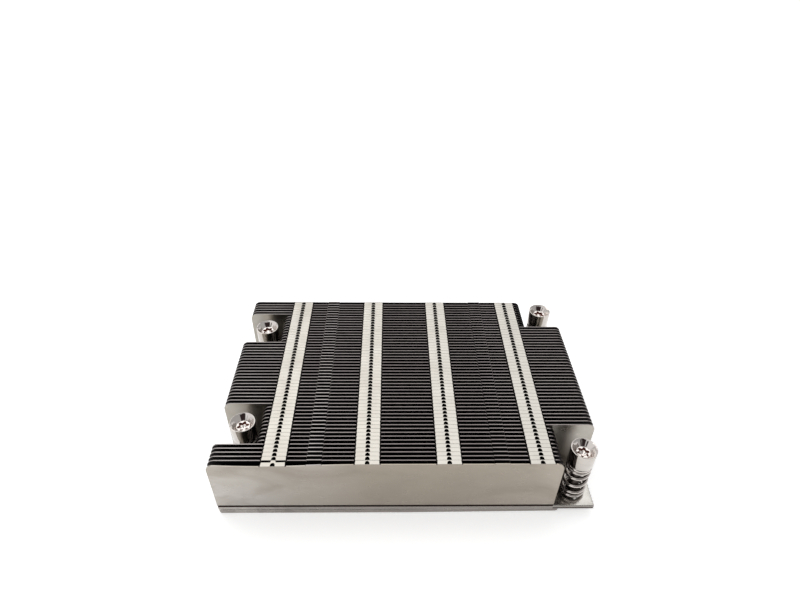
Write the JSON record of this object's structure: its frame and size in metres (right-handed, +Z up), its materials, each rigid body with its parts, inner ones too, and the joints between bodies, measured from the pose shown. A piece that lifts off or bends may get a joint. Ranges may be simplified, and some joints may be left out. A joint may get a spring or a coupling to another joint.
{
  "type": "passive server cpu heatsink",
  "caption": "Low passive heatsink for a server processor: a stack of folded, interlocked fins on two plates, with spring-loaded captive screws in its notches.",
  "frame": {"origin": "on the contact face, below the middle of the mounting plate", "axes": "+X along the fins, towards the widely spaced screws; +Y from the front fin to the back fin; +Z up, away from the processor"},
  "size_m": [0.1188, 0.0788, 0.0249],
  "materials": {
    "fin_sheet": "satin, nickel plated",
    "mounting_plate": "smooth nickel plating",
    "contact_plate": "fine milled, nickel plated",
    "screw": "bright nickel plating",
    "spring": "bright nickel plated wire",
    "clip": "spring steel"
  },
  "bodies": {
    "heatsink": {"contact_plate": "contact_plate", "mounting_plate": "mounting_plate", "fin_01": "fin_sheet", "fin_02": "fin_sheet", "fin_03": "fin_sheet", "fin_04": "fin_sheet", "fin_05": "fin_sheet", "fin_06": "fin_sheet", "fin_07": "fin_sheet", "fin_08": "fin_sheet", "fin_09": "fin_sheet", "fin_10": "fin_sheet", "fin_11": "fin_sheet", "fin_12": "fin_sheet", "fin_13": "fin_sheet", "fin_14": "fin_sheet", "fin_15": "fin_sheet", "fin_16": "fin_sheet", "fin_17_18": "fin_sheet", "fin_19_20": "fin_sheet", "fin_21_22": "fin_sheet", "fin_23_24": "fin_sheet", "fin_25_26": "fin_sheet", "fin_27_28": "fin_sheet", "fin_29_30": "fin_sheet", "fin_31_32": "fin_sheet", "fin_33_34": "fin_sheet", "fin_35_36": "fin_sheet", "fin_37": "fin_sheet", "fin_38": "fin_sheet", "fin_39": "fin_sheet", "fin_40": "fin_sheet", "fin_41": "fin_sheet", "fin_42": "fin_sheet", "fin_43": "fin_sheet", "fin_44": "fin_sheet", "fin_45": "fin_sheet", "fin_46": "fin_sheet", "fin_47": "fin_sheet", "fin_48": "fin_sheet", "fin_49": "fin_sheet", "fin_50": "fin_sheet", "fin_51": "fin_sheet", "fin_52": "fin_sheet", "fin_53": "fin_sheet", "front_left_spring": "spring", "back_left_spring": "spring", "front_right_spring": "spring", "back_right_spring": "spring"},
    "front_left_clip": {"front_left_clip": "clip"},
    "front_left_screw": {"front_left_screw": "screw"},
    "back_left_clip": {"back_left_clip": "clip"},
    "back_left_screw": {"back_left_screw": "screw"},
    "front_right_clip": {"front_right_clip": "clip"},
    "front_right_screw": {"front_right_screw": "screw"},
    "back_right_clip": {"back_right_clip": "clip"},
    "back_right_screw": {"back_right_screw": "screw"}
  },
  "joints": [
    {"name": "front_left_press", "type": "slide", "parent": "heatsink", "child": "front_left_clip", "axis": [0, 0, -1], "range_m": [0, 0.005], "stiffness_N_per_m": 5200, "springref_m": -0.003, "deforming": ["front_left_spring"]},
    {"name": "front_left_turn", "type": "hinge", "parent": "front_left_clip", "child": "front_left_screw", "pos_m": [-0.0518, -0.023, 0.01], "axis": [0, 0, 1], "continuous": true},
    {"name": "back_left_press", "type": "slide", "parent": "heatsink", "child": "back_left_clip", "axis": [0, 0, -1], "range_m": [0, 0.005], "stiffness_N_per_m": 5200, "springref_m": -0.003, "deforming": ["back_left_spring"]},
    {"name": "back_left_turn", "type": "hinge", "parent": "back_left_clip", "child": "back_left_screw", "pos_m": [-0.0518, 0.023, 0.01], "axis": [0, 0, 1], "continuous": true},
    {"name": "front_right_press", "type": "slide", "parent": "heatsink", "child": "front_right_clip", "axis": [0, 0, -1], "range_m": [0, 0.005], "stiffness_N_per_m": 5200, "springref_m": -0.003, "deforming": ["front_right_spring"]},
    {"name": "front_right_turn", "type": "hinge", "parent": "front_right_clip", "child": "front_right_screw", "pos_m": [0.0535, -0.03325, 0.01], "axis": [0, 0, 1], "continuous": true},
    {"name": "back_right_press", "type": "slide", "parent": "heatsink", "child": "back_right_clip", "axis": [0, 0, -1], "range_m": [0, 0.005], "stiffness_N_per_m": 5200, "springref_m": -0.003, "deforming": ["back_right_spring"]},
    {"name": "back_right_turn", "type": "hinge", "parent": "back_right_clip", "child": "back_right_screw", "pos_m": [0.0535, 0.03325, 0.01], "axis": [0, 0, 1], "continuous": true}
  ]
}
